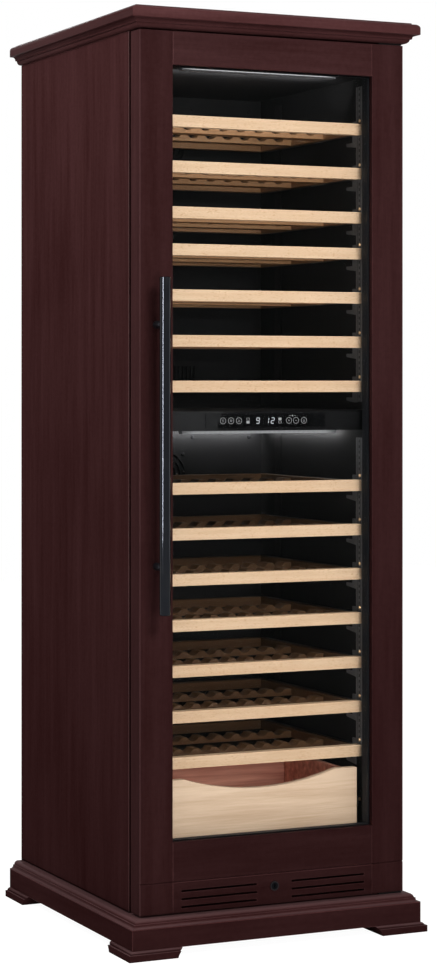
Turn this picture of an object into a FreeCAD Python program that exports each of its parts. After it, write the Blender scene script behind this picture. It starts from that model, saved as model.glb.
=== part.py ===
# Dual-zone wine cooler in a moulded wooden cabinet. Millimetres, +Z up, the door faces -Y.
# Depths are laid out from the door's front face, and every piece is then moved so that the origin is
# on the floor at the middle of the whole object's box.
import FreeCAD, Part
import math
import os

V = FreeCAD.Vector

# Cabinet
HEIGHT = 2007.0
DOOR_W = 636.0
CABINET_D = 700.0
BOARD_T = 18.0
CAP_T = 27.0
CAP_OVERHANG = 29.0
CAP_BOTTOM_R = 2.0
CAP_NOSE_R = 10.0
CAP_SHOULDER_W = 4.5
CAP_RISE = 3.0
CORNICE_T = 18.0
CORNICE_FILLET = 2.0
CORNICE_COVE_R = 7.0
CORNICE_LIP_H = 1.5
CORNICE_STEP = 4.0
PLINTH_TOP_T = 18.0
PLINTH_OVERHANG = 29.0
PLINTH_LIP_H = 1.0
PLINTH_LEDGE_W = 2.0
PLINTH_COVE_R = 6.0
PLINTH_BAND_H = 2.0
PLINTH_STEP = 3.0
PLINTH_H = 44.0
FOOT_H = 20.0
FOOT_OVERHANG = 40.0
FOOT_LENGTH = 126.0
FOOT_OVOLO_R = 6.0
FOOT_CUTBACK = 14.0

# Door
DOOR_T = 46.0
GASKET_GAP = 12.0
STILE_W = 77.0
TOP_RAIL_H = 71.0
BOTTOM_RAIL_H = 84.0
VENT_PANEL_H = 66.0
GLASS_LIP_T = 12.0
REBATE_W = 12.0
GLASS_EDGE_GAP = 2.0
GLASS_T = 4.0
GLASS_SPACE = 14.0
SPACER_W = 12.0
GLAZING_FRAME_W = 12.0
GROOVE_DEPTH = 2.5
GROOVE_HALF_W = 2.0
JOINT_LINE = 0.8
GASKET_W = 20.0
GASKET_INSET = 33.0
GASKET_EDGE = 8.0
SLOT_INNER_X = 42.0
SLOT_END_W = 20.0
SLOT_H = 5.0
SLOT_PITCH = 17.0
SLOT_COUNT = 3
SLOT_UP = 28.0

# Handle
HANDLE_D = 24.0
HANDLE_STANDOFF = 46.0
HANDLE_LENGTH = 711.0
HANDLE_BOTTOM_Z = 723.0
HANDLE_EDGE = 1.5
POST_D = 16.0
POST_INSET = 100.0
POST_TENON = 10.0

# Lock
LOCK_D = 20.0
LOCK_PROUD = 2.0
LOCK_UP = 38.0
LOCK_NECK_D = 10.0
CAM_GAP = 6.0
CAM_T = 3.0
CAM_W = 10.0
CAM_REACH = 22.0
KEYWAY_W = 2.4
KEYWAY_H = 9.0
KEYWAY_DEPTH = 3.0
STRIKE_W = 28.0
STRIKE_T = 2.0
STRIKE_TAB_H = 14.0
STRIKE_GAP = 1.0

# Hinges
PIVOT_IN = 12.0
HINGE_EDGE = 2.0
HINGE_PLATE_T = 3.0
HINGE_PLATE_W = 56.0
HINGE_PLATE_D = 40.0
PIN_D = 8.0
PIN_LENGTH = 16.0
BUSH_D = 12.0
BUSH_FLANGE_D = 18.0
THRUST_GAP = 1.0
RUNNING_GAP = 0.05

# Insulated box
CASE_T = 1.0
LINER_T = 2.0
WALL_FOAM_T = 39.0
TOP_FOAM_T = 67.0
BACK_FOAM_T = 60.0
FLOOR_FOAM_T = 34.0
HUMP_FOAM_T = 36.0
FLANGE_T = 2.0
FLOOR_Z = 226.0
LOWER_ZONE_H = 881.0
DIVIDER_T = 44.0
HUMP_D = 209.0
HUMP_H = 134.0
DUCT_SPACE = 49.0
DUCT_COVER_T = 3.0
KICK_GRILLE_T = 4.0

# Controls and lights
PANEL_D = 38.0
PANEL_SETBACK = 4.0
PANEL_SLOPE = 3.0
PANEL_SIDE_GAP = 2.0
WINDOW_W = 292.0
WINDOW_H = 30.0
WINDOW_T = 1.5
WINDOW_SHIFT = 10.0
LIGHT_BAR_D = 18.0
LIGHT_BAR_H = 6.0
LIGHT_BAR_SIDE_GAP = 70.0
LIGHT_BAR_SETBACK = 8.0

# Shelves and their runners
SHELF_SETBACK = 7.0
SHELF_SIDE_GAP = 8.0
SHELF_BACK_GAP = 29.0
SHELF_PITCH = 98.5
CLOSE_PITCH = 80.0
CLOSE_AFTER = 3
UPPER_HEADROOM = 116.0
LOWER_HEADROOM = 124.0
SHELF_FLOOR_GAP = 12.0
FASCIA_H = 25.0
FASCIA_T = 24.0
BEARER_W = 14.0
BEARER_H = 20.0
SLAT_D = 40.0
SLAT_H = 16.0
SLAT_COUNT = 2
SCALLOP_PITCH = 44.0
SCALLOP_R = 17.0
SCALLOP_DEPTH = 9.0
RUNNER_T = 5.0
RUNNER_H = 14.0
RUNNER_GAP = 0.5
RAIL_H = 20.0
RAIL_END_GAP = 4.0
UPRIGHT_T = 2.0
UPRIGHT_W = 33.0
UPRIGHT_FRONT_GAP = 9.0
UPRIGHT_INSET = 24.0
UPRIGHT_END_GAP = 18.0
HOOK_WEB_W = 17.0
HOOK_REACH = 45.0
HOOK_UP = 22.0
HOOK_DROP = 37.0
HOOK_LIP_H = 12.0
HOOK_TIP_H = 7.0

# Bottle drawer
DRAWER_SIDE_GAP = 20.0
DRAWER_BACK_GAP = 17.0
DRAWER_UP = 4.0
DRAWER_H = 126.0
DRAWER_FRONT_T = 18.0
DRAWER_SIDE_T = 12.0
DRAWER_SIDE_DROP = 9.0
DRAWER_BOTTOM_T = 6.0
DRAWER_BOTTOM_UP = 4.0
SCOOP_END_W = 54.0
SCOOP_DEPTH = 29.0
DRAWER_RUNNER_T = 8.0
DRAWER_RUNNER_UP = 34.0

# Cold side
FAN_D = 110.0
FAN_HUB_D = 38.0
FAN_DEPTH = 18.0
FAN_BLADES = 7
FAN_BLADE_T = 2.0
FAN_BLADE_W = 17.0
FAN_BLADE_PITCH = 32.0
FAN_TO_COVER = 5.0
FAN_DROP = 115.0
FAN_MOTOR_D = 34.0
FAN_SHAFT_D = 6.0
FAN_SHAFT_LENGTH = 12.0
FAN_MOTOR_GAP = 1.0
GRILLE_RINGS = 4
GRILLE_RING_W = 5.0
GRILLE_SPOKE_W = 5.0
INTAKE_W = 150.0
INTAKE_H = 60.0
INTAKE_UP = 40.0
INTAKE_SLOT_W = 5.0
INTAKE_PITCH = 10.0
EVAPORATOR_W = 300.0
EVAPORATOR_UP = 130.0
EVAPORATOR_D = 40.0
EVAPORATOR_BELOW_FAN = 80.0
FIN_PITCH = 20.0
FIN_T = 6.0
FIN_DEPTH = 28.0

# Machine space
COMPRESSOR_X = -130.0
COMPRESSOR_R = 78.0
COMPRESSOR_H = 190.0
COMPRESSOR_DOME_R = 35.0
COMPRESSOR_BACK_GAP = 12.0
COMPRESSOR_PLATE_T = 4.0
COMPRESSOR_PLATE = 176.0
CONDENSER_X = 125.0
CONDENSER_W = 210.0
CONDENSER_H = 170.0
CONDENSER_D = 50.0
CONDENSER_BACK_GAP = 16.0
CONDENSER_FAN_D = 140.0
CONDENSER_FAN_GAP = 36.0
FAN_POST_W = 20.0
COVER_SLOT_W = 8.0
COVER_SLOT_H = 130.0
COVER_SLOT_PITCH = 22.0
COVER_SLOT_COUNT = 12
INLET_W = 28.0
INLET_H = 21.0
INLET_DEPTH = 22.0
INLET_WALL = 2.5
INLET_END_W = 50.0
INLET_UP = 60.0
INLET_PIN_D = 4.0
INLET_PIN_LENGTH = 17.0
INLET_PIN_PITCH = 7.0

# Levels and faces that several pieces share
HALF_W = DOOR_W / 2
PLINTH_TOP_Z0 = FOOT_H + PLINTH_H
BASE_Z = PLINTH_TOP_Z0 + PLINTH_TOP_T
CAP_Z = HEIGHT - CAP_T
CORNICE_Z = CAP_Z - CORNICE_T
DOOR_Z0 = BASE_Z + HINGE_PLATE_T + THRUST_GAP
DOOR_Z1 = CORNICE_Z - HINGE_PLATE_T - THRUST_GAP
VENT_TOP_Z = DOOR_Z0 + VENT_PANEL_H
GLASS_Z0 = VENT_TOP_Z + BOTTOM_RAIL_H
GLASS_Z1 = DOOR_Z1 - TOP_RAIL_H
OPENING_X = HALF_W - STILE_W
CARCASS_Y = DOOR_T + GASKET_GAP
SLOT_OUTER_X = OPENING_X - SLOT_END_W
CASE_X = HALF_W - BOARD_T
INLET_X = INLET_END_W - CASE_X
FOAM_X = CASE_X - CASE_T
LINER_OUT_X = FOAM_X - WALL_FOAM_T
LINER_X = LINER_OUT_X - LINER_T
CASE_TOP_Z = CORNICE_Z - CASE_T
CEILING_TOP_Z = CASE_TOP_Z - TOP_FOAM_T
CEILING_Z = CEILING_TOP_Z - LINER_T
FLOOR_UNDER_Z = FLOOR_Z - LINER_T
MACHINE_FRONT_TOP_Z = FLOOR_UNDER_Z - FLOOR_FOAM_T
HUMP_Z = FLOOR_Z + HUMP_H
HUMP_UNDER_Z = HUMP_Z - LINER_T
MACHINE_TOP_Z = HUMP_UNDER_Z - HUMP_FOAM_T
DIVIDER_Z0 = FLOOR_Z + LOWER_ZONE_H
DIVIDER_Z1 = DIVIDER_Z0 + DIVIDER_T
REAR_Y = CABINET_D - CASE_T
LINER_BACK_Y = REAR_Y - BACK_FOAM_T
BACK_WALL_Y = LINER_BACK_Y - LINER_T
DUCT_BACK_Y = BACK_WALL_Y - DUCT_SPACE
DUCT_Y = DUCT_BACK_Y - DUCT_COVER_T
LINER_Y = CARCASS_Y + FLANGE_T
HUMP_Y = BACK_WALL_Y - HUMP_D
MACHINE_Y = HUMP_Y + LINER_T + FLOOR_FOAM_T
HANDLE_REACH = HANDLE_STANDOFF + HANDLE_D / 2
FRONT_REACH = max(HANDLE_REACH, FOOT_OVERHANG)
TO_ORIGIN = V(0, (FRONT_REACH - CABINET_D) / 2, 0)


def block(x0, x1, y0, y1, z0, z1):
    return Part.makeBox(x1 - x0, y1 - y0, z1 - z0, V(x0, y0, z0))


def rod(start, along, diameter, length):
    return Part.makeCylinder(diameter / 2, length, start, along)


def save(name, *solids):
    shape = solids[0].copy() if len(solids) == 1 else Part.makeCompound(list(solids))
    shape.translate(TO_ORIGIN)
    shape.exportStep("parts/" + name + ".step")


def both_sides(solid):
    return [solid, solid.mirror(V(0, 0, 0), V(1, 0, 0))]


def outline_prism(path, to_point, along):
    # A path is a start point and then lines to (u, z) or arcs through one point to another.
    edges = []
    last = to_point(*path[0])
    for step in path[1:]:
        end = to_point(*step[-1])
        if len(step) == 2:
            edges.append(Part.Arc(last, to_point(*step[0]), end).toShape())
        else:
            edges.append(Part.LineSegment(last, end).toShape())
        last = end
    edges.append(Part.LineSegment(last, to_point(*path[0])).toShape())
    return Part.Face(Part.Wire(edges)).extrude(along)


def quarter(centre, radius, degrees):
    turn = math.radians(degrees)
    return (centre[0] + radius * math.cos(turn), centre[1] + radius * math.sin(turn))


def moulded_board(edge, reach):
    # The edge runs up the front and both sides, and the back is sawn flush with the cabinet's back.
    width = 2 * (HALF_W + reach)
    depth = CABINET_D + reach
    base_z = edge[0][1]
    top_z = edge[-1][-1][1]
    inside = [((-CABINET_D, top_z),), ((-CABINET_D, base_z),)]
    front = outline_prism(edge + inside, lambda u, z: V(-width / 2, -u, z), V(width, 0, 0))
    middle = [((-HALF_W, top_z),), ((-HALF_W, base_z),)]
    side = outline_prism(edge + middle, lambda u, z: V(HALF_W + u, -reach, z), V(0, depth, 0))
    left, right = both_sides(side)
    return front.common(left.fuse(right).removeSplitter())


def cornice_cap():
    # Rounded nose, a narrow shoulder behind it and a raised top.
    nose = CAP_OVERHANG
    low = CAP_Z + CAP_BOTTOM_R
    shoulder_z = HEIGHT - CAP_RISE
    centre = (nose - CAP_NOSE_R, shoulder_z - CAP_NOSE_R)
    rise_x = centre[0] - CAP_SHOULDER_W
    edge = [
        (nose - CAP_BOTTOM_R, CAP_Z),
        (quarter((nose - CAP_BOTTOM_R, low), CAP_BOTTOM_R, -45), (nose, low)),
        ((nose, centre[1]),),
        (quarter(centre, CAP_NOSE_R, 45), (centre[0], shoulder_z)),
        ((rise_x, shoulder_z),),
        ((rise_x, HEIGHT),),
    ]
    save("cornice_cap", moulded_board(edge, CAP_OVERHANG))


def cornice_moulding():
    # From below: an ovolo, a stepped lip and a cove up to the cap.
    cove_z = CAP_Z - CORNICE_COVE_R
    step_z = cove_z - CORNICE_LIP_H
    radius = step_z - CORNICE_Z
    lip_x = CORNICE_FILLET + radius + CORNICE_STEP
    reach = lip_x + CORNICE_COVE_R
    edge = [
        (CORNICE_FILLET, CORNICE_Z),
        (quarter((CORNICE_FILLET, step_z), radius, -45), (CORNICE_FILLET + radius, step_z)),
        ((lip_x, step_z),),
        ((lip_x, cove_z),),
        (quarter((reach, cove_z), CORNICE_COVE_R, 135), (reach, CAP_Z)),
    ]
    save("cornice_moulding", moulded_board(edge, reach))


def plinth_top():
    # From below: a thin lip, a cove, a flat band and an ovolo up to the cabinet.
    lip_z = PLINTH_TOP_Z0 + PLINTH_LIP_H
    ledge_x = PLINTH_OVERHANG - PLINTH_LEDGE_W
    cove_z = lip_z + PLINTH_COVE_R
    band_x = ledge_x - PLINTH_COVE_R
    step_z = cove_z + PLINTH_BAND_H
    ovolo_x = band_x - PLINTH_STEP
    radius = BASE_Z - step_z
    centre = (ovolo_x - radius, step_z)
    edge = [
        (PLINTH_OVERHANG, PLINTH_TOP_Z0),
        ((PLINTH_OVERHANG, lip_z),),
        ((ledge_x, lip_z),),
        (quarter((ledge_x, cove_z), PLINTH_COVE_R, 225), (band_x, cove_z)),
        ((band_x, step_z),),
        ((ovolo_x, step_z),),
        (quarter(centre, radius, 45), (centre[0], BASE_Z)),
    ]
    save("plinth_top", moulded_board(edge, PLINTH_OVERHANG))


def plinth_boards():
    out_x = HALF_W + PLINTH_OVERHANG
    in_x = out_x - BOARD_T
    front_y = -PLINTH_OVERHANG
    z0 = FOOT_H
    z1 = PLINTH_TOP_Z0
    front = block(-out_x, out_x, front_y, front_y + BOARD_T, z0, z1)
    back = block(-in_x, in_x, CABINET_D - BOARD_T, CABINET_D, z0, z1)
    sides = both_sides(block(in_x, out_x, front_y + BOARD_T, CABINET_D, z0, z1))
    save("plinth_boards", front, back, *sides)


def bracket_feet():
    # Each foot is a corner block: moulded outside, with its inner ends hollowed back towards the floor.
    nose = FOOT_OVERHANG
    top = PLINTH_OVERHANG
    end = nose - FOOT_LENGTH
    nose_h = FOOT_H - FOOT_OVOLO_R
    ovolo = quarter((top, nose_h), FOOT_OVOLO_R, 45)
    outer = [(nose, 0), ((nose, nose_h),), ((top + FOOT_OVOLO_R, nose_h),), (ovolo, (top, FOOT_H))]
    hollow = quarter((end, 0), min(FOOT_CUTBACK, FOOT_H), 45)
    inner = [((end, FOOT_H),), (hollow, (end + FOOT_CUTBACK, 0))]
    along_side = outline_prism(
        outer + inner, lambda u, z: V(HALF_W + u, -nose, z), V(0, CABINET_D + nose, 0))
    across_front = outline_prism(
        outer + inner, lambda u, z: V(0, -u, z), V(HALF_W + nose, 0, 0))
    rear_outer = [(0, 0), ((0, FOOT_H),)]
    rear_end = -FOOT_LENGTH
    rear_hollow = quarter((rear_end, 0), min(FOOT_CUTBACK, FOOT_H), 45)
    rear_inner = [((rear_end, FOOT_H),), (rear_hollow, (rear_end + FOOT_CUTBACK, 0))]
    across_back = outline_prism(
        rear_outer + rear_inner, lambda u, z: V(0, CABINET_D + u, z), V(HALF_W + nose, 0, 0))
    front_feet = both_sides(along_side.common(across_front))
    rear_feet = both_sides(along_side.common(across_back))
    save("bracket_feet", *front_feet, *rear_feet)


def side_panels():
    left, right = both_sides(block(-HALF_W, -CASE_X, CARCASS_Y, CABINET_D, BASE_Z, CORNICE_Z))
    save("left_side_panel", left)
    save("right_side_panel", right)


def outer_case():
    sides = both_sides(block(FOAM_X, CASE_X, CARCASS_Y, REAR_Y, BASE_Z, CASE_TOP_Z))
    top = block(-CASE_X, CASE_X, CARCASS_Y, REAR_Y, CASE_TOP_Z, CORNICE_Z)
    save("outer_case", top, *sides)


def rear_panel():
    save("rear_panel", block(-CASE_X, CASE_X, REAR_Y, CABINET_D, MACHINE_TOP_Z, CORNICE_Z))


def machine_cover():
    cover = block(-CASE_X, CASE_X, REAR_Y, CABINET_D, BASE_Z, MACHINE_TOP_Z)
    slot_z = (BASE_Z + MACHINE_TOP_Z - COVER_SLOT_H) / 2
    for index in range(COVER_SLOT_COUNT):
        x = CONDENSER_X + (index - (COVER_SLOT_COUNT - 1) / 2) * COVER_SLOT_PITCH
        x0 = x - COVER_SLOT_W / 2
        cover = cover.cut(block(x0, x0 + COVER_SLOT_W, REAR_Y, CABINET_D, slot_z, slot_z + COVER_SLOT_H))
    z = BASE_Z + INLET_UP
    hole = block(INLET_X - INLET_W / 2, INLET_X + INLET_W / 2, REAR_Y, CABINET_D, z, z + INLET_H)
    save("machine_cover", cover.cut(hole))


def foam_insulation():
    sides = both_sides(block(LINER_OUT_X, FOAM_X, LINER_Y, REAR_Y, MACHINE_FRONT_TOP_Z, CASE_TOP_Z))
    top = block(-LINER_OUT_X, LINER_OUT_X, LINER_Y, REAR_Y, CEILING_TOP_Z, CASE_TOP_Z)
    back = block(-LINER_OUT_X, LINER_OUT_X, LINER_BACK_Y, REAR_Y, MACHINE_TOP_Z, CEILING_TOP_Z)
    riser_y = HUMP_Y + LINER_T
    floor = block(-LINER_OUT_X, LINER_OUT_X, LINER_Y, MACHINE_Y, MACHINE_FRONT_TOP_Z, FLOOR_UNDER_Z)
    riser = block(-LINER_X, LINER_X, riser_y, MACHINE_Y, FLOOR_UNDER_Z, MACHINE_TOP_Z)
    hump = block(-LINER_X, LINER_X, riser_y, LINER_BACK_Y, MACHINE_TOP_Z, HUMP_UNDER_Z)
    save("foam_insulation", top, back, floor, riser, hump, *sides)


def front_flange():
    sides = both_sides(block(LINER_X, FOAM_X, CARCASS_Y, LINER_Y, MACHINE_FRONT_TOP_Z, CASE_TOP_Z))
    top = block(-LINER_X, LINER_X, CARCASS_Y, LINER_Y, CEILING_Z, CASE_TOP_Z)
    bottom = block(-LINER_X, LINER_X, CARCASS_Y, LINER_Y, MACHINE_FRONT_TOP_Z, FLOOR_Z)
    save("front_flange", top, bottom, *sides)


def liners():
    upper_walls = both_sides(block(LINER_X, LINER_OUT_X, LINER_Y, LINER_BACK_Y, DIVIDER_Z1, CEILING_TOP_Z))
    ceiling = block(-LINER_X, LINER_X, LINER_Y, LINER_BACK_Y, CEILING_Z, CEILING_TOP_Z)
    upper_back = block(-LINER_X, LINER_X, BACK_WALL_Y, LINER_BACK_Y, DIVIDER_Z1, CEILING_Z)
    save("upper_liner", ceiling, upper_back, *upper_walls)
    lower_walls = both_sides(block(LINER_X, LINER_OUT_X, LINER_Y, LINER_BACK_Y, FLOOR_UNDER_Z, DIVIDER_Z0))
    floor = block(-LINER_X, LINER_X, LINER_Y, HUMP_Y, FLOOR_UNDER_Z, FLOOR_Z)
    riser = block(-LINER_X, LINER_X, HUMP_Y, HUMP_Y + LINER_T, FLOOR_UNDER_Z, HUMP_Z)
    hump = block(-LINER_X, LINER_X, HUMP_Y + LINER_T, LINER_BACK_Y, HUMP_UNDER_Z, HUMP_Z)
    lower_back = block(-LINER_X, LINER_X, BACK_WALL_Y, LINER_BACK_Y, HUMP_Z, DIVIDER_Z0)
    save("lower_liner", floor, riser, hump, lower_back, *lower_walls)


PANEL_Y = CARCASS_Y + PANEL_SETBACK
PANEL_BACK_Y = PANEL_Y + PANEL_D


def zone_divider():
    slab = block(-LINER_OUT_X, LINER_OUT_X, PANEL_BACK_Y, LINER_BACK_Y, DIVIDER_Z0, DIVIDER_Z1)
    save("zone_divider", slab)


def control_panel():
    half = LINER_X - PANEL_SIDE_GAP
    outline = [
        (PANEL_Y, DIVIDER_Z0),
        ((PANEL_Y, DIVIDER_Z1 - PANEL_SLOPE),),
        ((PANEL_Y + PANEL_SLOPE, DIVIDER_Z1),),
        ((PANEL_BACK_Y, DIVIDER_Z1),),
        ((PANEL_BACK_Y, DIVIDER_Z0),),
    ]
    save("control_panel", outline_prism(outline, lambda y, z: V(-half, y, z), V(2 * half, 0, 0)))
    z = DIVIDER_Z0 + (DIVIDER_T - WINDOW_H) / 2
    x = WINDOW_SHIFT - WINDOW_W / 2
    save("display_window", block(x, x + WINDOW_W, PANEL_Y - WINDOW_T, PANEL_Y, z, z + WINDOW_H))


def light_bars():
    half = LINER_X - LIGHT_BAR_SIDE_GAP
    y0 = PANEL_Y + LIGHT_BAR_SETBACK
    y1 = y0 + LIGHT_BAR_D
    bars = [block(-half, half, y0, y1, z - LIGHT_BAR_H, z) for z in (CEILING_Z, DIVIDER_Z0)]
    save("light_bars", *bars)


def ring_grille(centre_z):
    # Ring slots in front of a fan, left bridged by crossed spokes.
    slots = []
    step = FAN_D / 2 / (GRILLE_RINGS + 0.5)
    for index in range(1, GRILLE_RINGS + 1):
        outer = step * (index + 0.5)
        slot = rod(V(0, DUCT_Y, centre_z), V(0, 1, 0), 2 * outer, DUCT_COVER_T)
        core = rod(V(0, DUCT_Y, centre_z), V(0, 1, 0), 2 * (outer - GRILLE_RING_W), DUCT_COVER_T)
        slots.append(slot.cut(core))
    spokes = []
    for turn in (45, 135):
        spoke = block(-FAN_D, FAN_D, DUCT_Y, DUCT_BACK_Y, -GRILLE_SPOKE_W / 2, GRILLE_SPOKE_W / 2)
        spoke.rotate(V(0, 0, 0), V(0, 1, 0), turn)
        spoke.translate(V(0, 0, centre_z))
        spokes.append(spoke)
    return [slot.cut(spokes[0]).cut(spokes[1]) for slot in slots]


UPPER_FAN_Z = CEILING_Z - FAN_DROP
LOWER_FAN_Z = DIVIDER_Z0 - FAN_DROP
FAN_Y = DUCT_BACK_Y + FAN_TO_COVER
FAN_BACK_Y = FAN_Y + FAN_DEPTH


def duct_covers():
    covers = []
    for z0, z1, fan_z in ((HUMP_Z, DIVIDER_Z0, LOWER_FAN_Z), (DIVIDER_Z1, CEILING_Z, UPPER_FAN_Z)):
        cover = block(-LINER_X, LINER_X, DUCT_Y, DUCT_BACK_Y, z0, z1)
        cuts = ring_grille(fan_z)
        slot_z = z0 + INTAKE_UP
        for index in range(int(INTAKE_W / INTAKE_PITCH) + 1):
            x = index * INTAKE_PITCH - INTAKE_W / 2
            cuts.append(block(x, x + INTAKE_SLOT_W, DUCT_Y, DUCT_BACK_Y, slot_z, slot_z + INTAKE_H))
        covers.append(cover.cut(Part.makeCompound(cuts)))
    save("duct_covers", *covers)


def finned_block(x, y0, y1, z0, z1, width):
    # A coil block whose front is cut into fins.
    core = block(x - width / 2, x + width / 2, y0, y1, z0, z1)
    slots = []
    for index in range(int(width / FIN_PITCH)):
        slot_x = x - width / 2 + FIN_T + index * FIN_PITCH
        slots.append(block(slot_x, slot_x + FIN_PITCH - FIN_T, y0, y0 + FIN_DEPTH, z0, z1))
    return core.cut(Part.makeCompound(slots))


def evaporators():
    coils = []
    for floor_z, fan_z in ((HUMP_Z, LOWER_FAN_Z), (DIVIDER_Z1, UPPER_FAN_Z)):
        z0 = floor_z + EVAPORATOR_UP
        z1 = fan_z - EVAPORATOR_BELOW_FAN
        y0 = BACK_WALL_Y - EVAPORATOR_D
        coils.append(finned_block(0, y0, BACK_WALL_Y, z0, z1, EVAPORATOR_W))
    save("evaporators", *coils)


def fan_rotor(name, centre, diameter):
    # Flat raked blades on a hub that is bored for the motor shaft from behind.
    back = V(0, 1, 0)
    hub = rod(V(0, 0, 0), back, FAN_HUB_D, FAN_DEPTH)
    half_t = FAN_BLADE_T / 2
    half_w = FAN_BLADE_W / 2
    rotor = hub
    for index in range(FAN_BLADES):
        blade = block(FAN_HUB_D / 4, diameter / 2, -half_t, half_t, -half_w, half_w)
        blade.rotate(V(0, 0, 0), V(1, 0, 0), FAN_BLADE_PITCH)
        blade.translate(V(0, FAN_DEPTH / 2, 0))
        blade.rotate(V(0, 0, 0), back, index * 360 / FAN_BLADES)
        rotor = rotor.fuse(blade)
    shell = rod(V(0, 0, 0), back, diameter, FAN_DEPTH)
    bore_y = FAN_DEPTH - FAN_SHAFT_LENGTH
    bore = rod(V(0, bore_y, 0), back, FAN_SHAFT_D + 2 * RUNNING_GAP, FAN_SHAFT_LENGTH)
    rotor = rotor.common(shell).cut(bore).removeSplitter()
    rotor.translate(centre)
    save(name, rotor)


CONDENSER_Y = REAR_Y - CONDENSER_BACK_GAP - CONDENSER_D
CONDENSER_FAN_Y = CONDENSER_Y - CONDENSER_FAN_GAP - FAN_DEPTH
CONDENSER_FAN_Z = BASE_Z + CONDENSER_H / 2


def fan_motor(x, back_y, end_y, z):
    # A motor can behind a rotor, with the shaft that the rotor turns on.
    face_y = back_y + FAN_MOTOR_GAP
    shaft_y = back_y - FAN_SHAFT_LENGTH + FAN_MOTOR_GAP
    can = rod(V(x, face_y, z), V(0, 1, 0), FAN_MOTOR_D, end_y - face_y)
    shaft = rod(V(x, shaft_y, z), V(0, 1, 0), FAN_SHAFT_D, face_y - shaft_y)
    return can.fuse(shaft).removeSplitter()


def fans():
    fan_rotor("upper_fan", V(0, FAN_Y, UPPER_FAN_Z), FAN_D)
    fan_rotor("lower_fan", V(0, FAN_Y, LOWER_FAN_Z), FAN_D)
    fan_rotor("condenser_fan", V(CONDENSER_X, CONDENSER_FAN_Y, CONDENSER_FAN_Z), CONDENSER_FAN_D)
    motors = [fan_motor(0, FAN_BACK_Y, BACK_WALL_Y, z) for z in (LOWER_FAN_Z, UPPER_FAN_Z)]
    back_y = CONDENSER_FAN_Y + FAN_DEPTH
    motor = fan_motor(CONDENSER_X, back_y, CONDENSER_Y, CONDENSER_FAN_Z)
    post_x = CONDENSER_X - FAN_POST_W / 2
    post_y = back_y + FAN_MOTOR_GAP
    post = block(post_x, post_x + FAN_POST_W, post_y, CONDENSER_Y, BASE_Z, CONDENSER_FAN_Z)
    motors.append(motor.fuse(post).removeSplitter())
    save("fan_motors", *motors)


def compressor():
    # A domed steel can welded to a mounting plate.
    half = COMPRESSOR_PLATE / 2
    y = REAR_Y - COMPRESSOR_BACK_GAP - half
    z0 = BASE_Z + COMPRESSOR_PLATE_T
    can = rod(V(COMPRESSOR_X, y, z0), V(0, 0, 1), 2 * COMPRESSOR_R, COMPRESSOR_H - COMPRESSOR_PLATE_T)
    rims = [edge for edge in can.Edges if len(edge.Vertexes) == 1]
    can = can.makeFillet(COMPRESSOR_DOME_R, rims)
    plate = block(COMPRESSOR_X - half, COMPRESSOR_X + half, y - half, y + half, BASE_Z, z0)
    save("compressor", plate.fuse(can).removeSplitter())


def condenser():
    z1 = BASE_Z + CONDENSER_H
    coil = finned_block(CONDENSER_X, CONDENSER_Y, CONDENSER_Y + CONDENSER_D, BASE_Z, z1, CONDENSER_W)
    save("condenser", coil)


def mains_inlet():
    z = BASE_Z + INLET_UP
    x = INLET_X - INLET_W / 2
    y = CABINET_D - INLET_DEPTH
    shell = block(x, x + INLET_W, y, CABINET_D, z, z + INLET_H)
    well = block(
        x + INLET_WALL, x + INLET_W - INLET_WALL, y + INLET_WALL, CABINET_D,
        z + INLET_WALL, z + INLET_H - INLET_WALL)
    pins = [rod(V(INLET_X + dx, y, z + INLET_H / 2), V(0, 1, 0), INLET_PIN_D, INLET_PIN_LENGTH)
            for dx in (-INLET_PIN_PITCH, 0, INLET_PIN_PITCH)]
    socket = shell.cut(well)
    for pin in pins:
        socket = socket.fuse(pin)
    save("mains_inlet", socket.removeSplitter())


def slot_rows(y0, y1):
    # Two groups of level slots, one each side of the lock.
    middle_z = DOOR_Z0 + SLOT_UP
    rows = []
    for index in range(SLOT_COUNT):
        z = middle_z + (index - (SLOT_COUNT - 1) / 2) * SLOT_PITCH - SLOT_H / 2
        rows += both_sides(block(SLOT_INNER_X, SLOT_OUTER_X, y0, y1, z, z + SLOT_H))
    return Part.makeCompound(rows)


def kick_grille():
    y1 = CARCASS_Y + KICK_GRILLE_T
    grille = block(-FOAM_X, FOAM_X, CARCASS_Y, y1, BASE_Z, MACHINE_FRONT_TOP_Z)
    save("kick_grille", grille.cut(slot_rows(CARCASS_Y, y1)))


SHELF_HALF_W = LINER_X - SHELF_SIDE_GAP
BEARER_OUT_X = SHELF_HALF_W - RUNNER_T
RAIL_X = SHELF_HALF_W + RUNNER_GAP
UPRIGHT_X = LINER_X - UPRIGHT_T
SHELF_Y = CARCASS_Y + SHELF_SETBACK
RUNNER_Y = SHELF_Y + FASCIA_T
SHELF_BACK_Y = DUCT_Y - SHELF_BACK_GAP
RAIL_Y = RUNNER_Y + RAIL_END_GAP
DRAWER_HALF_W = LINER_X - DRAWER_SIDE_GAP
DRAWER_BACK_Y = HUMP_Y - DRAWER_BACK_GAP
DRAWER_Z0 = FLOOR_Z + DRAWER_UP
DRAWER_Z1 = DRAWER_Z0 + DRAWER_H
DRAWER_RAIL_Z = DRAWER_Z0 + DRAWER_RUNNER_UP


def shelf_levels(top_z, lowest_z, close_after):
    # Middle heights from the top shelf down; one gap may be a closer one.
    levels = []
    z = top_z
    while z > lowest_z:
        levels.append(z)
        z -= CLOSE_PITCH if len(levels) == close_after else SHELF_PITCH
    return levels


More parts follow.
